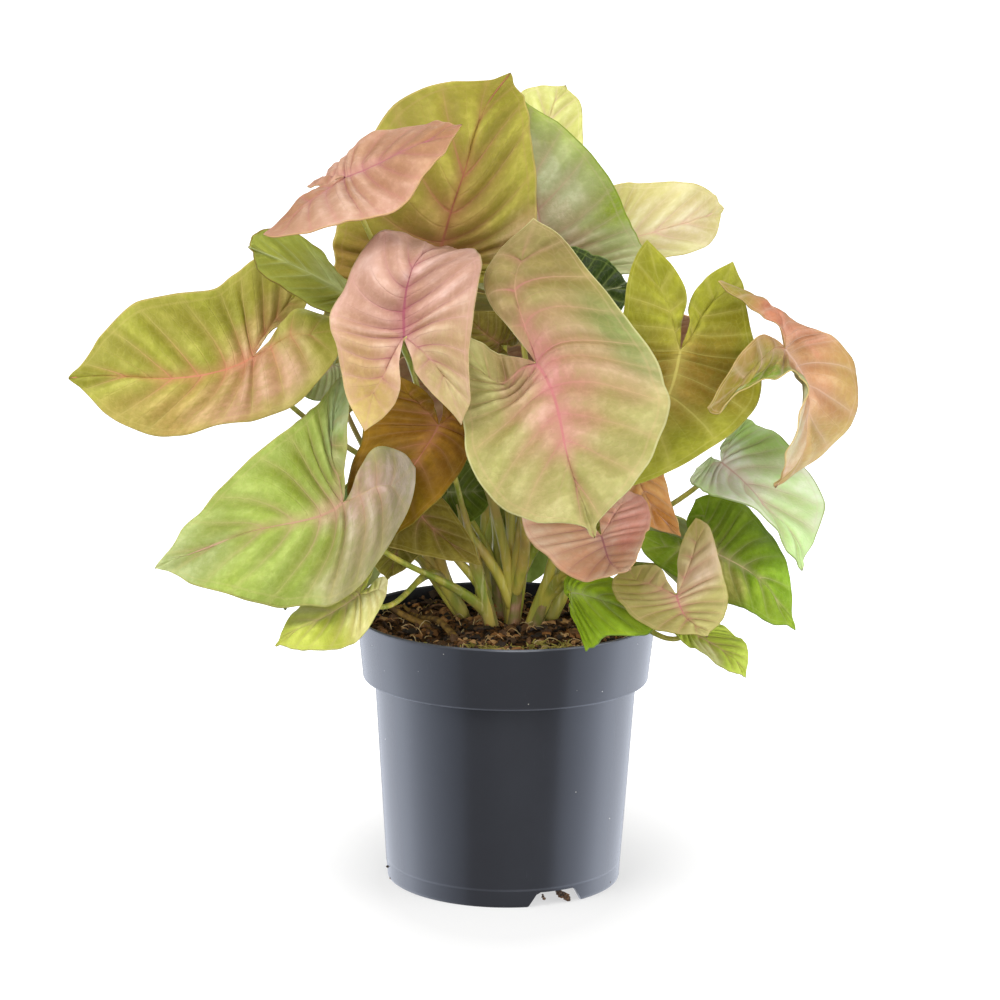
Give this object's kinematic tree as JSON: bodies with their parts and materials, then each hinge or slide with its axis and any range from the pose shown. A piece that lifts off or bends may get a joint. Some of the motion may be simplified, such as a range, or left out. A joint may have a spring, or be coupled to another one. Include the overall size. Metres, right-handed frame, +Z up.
{
  "type": "potted arrowhead plant",
  "caption": "Bushy arrowhead plant with waved, arrow-shaped leaves on thin petioles, growing from potting mix in a round tapered nursery pot with a collar.",
  "frame": {"origin": "centre of the pot's round base, on the pad and the plane that the pot stands on", "axes": "+Z up along the pot's axis; -Y towards the front of the plant, the side that the picture shows; +X to the viewer's right"},
  "size_m": [0.3079, 0.2689, 0.3241],
  "materials": {
    "pot_plastic": "moulded dark grey polypropylene, satin",
    "potting_mix": "moist bark and peat, matte",
    "petiole_green": "smooth plant stem, satin",
    "leaf_olive": "living leaf, satin",
    "leaf_rose": "living leaf, satin",
    "leaf_green": "living leaf, satin",
    "leaf_rose_olive": "living leaf, satin",
    "leaf_orange": "living leaf, satin",
    "leaf_pale": "living leaf, satin",
    "leaf_grey": "living leaf, satin",
    "leaf_lime": "living leaf, satin",
    "leaf_amber": "living leaf, satin",
    "leaf_sage": "living leaf, satin"
  },
  "bodies": {
    "root": {"pot": "pot_plastic", "soil": "potting_mix", "shoot_1": "petiole_green", "shoot_2": "petiole_green", "shoot_3": "petiole_green", "shoot_4": "petiole_green", "shoot_5": "petiole_green", "shoot_6": "petiole_green", "shoot_7": "petiole_green", "blade_left_long": "leaf_olive", "blade_upper_left_rose": "leaf_rose", "blade_upper_left_under": "leaf_green", "blade_top_tall": "leaf_olive", "blade_front_rose": "leaf_rose", "blade_front_heart": "leaf_rose_olive", "blade_right_olive": "leaf_olive", "blade_right_droop": "leaf_orange", "blade_far_right_pale": "leaf_pale", "blade_far_top_pale": "leaf_pale", "blade_grey_tall": "leaf_grey", "blade_dark_nook": "leaf_green", "blade_low_left_green": "leaf_lime", "blade_amber": "leaf_amber", "blade_olive_tip": "leaf_olive", "blade_olive_shade": "leaf_olive", "blade_pale_scrap": "leaf_grey", "blade_low_left_small": "leaf_lime", "blade_low_rose": "leaf_rose", "blade_orange_tip": "leaf_orange", "blade_low_right_pale": "leaf_sage", "blade_low_right_green": "leaf_green", "blade_small_heart": "leaf_rose_olive", "blade_low_curl": "leaf_lime", "blade_low_front_green": "leaf_green", "blade_dark_centre": "leaf_green", "blade_dark_between": "leaf_olive", "blade_rear_right_low": "leaf_lime", "blade_rear_right_high": "leaf_rose", "blade_rear_low": "leaf_green", "blade_rear_middle": "leaf_olive", "blade_rear_top": "leaf_rose_olive", "blade_rear_left_high": "leaf_olive", "blade_rear_left_middle": "leaf_rose", "blade_rear_left_low": "leaf_lime", "blade_side_left_low": "leaf_green", "blade_side_right_high": "leaf_sage"}
  },
  "joints": []
}
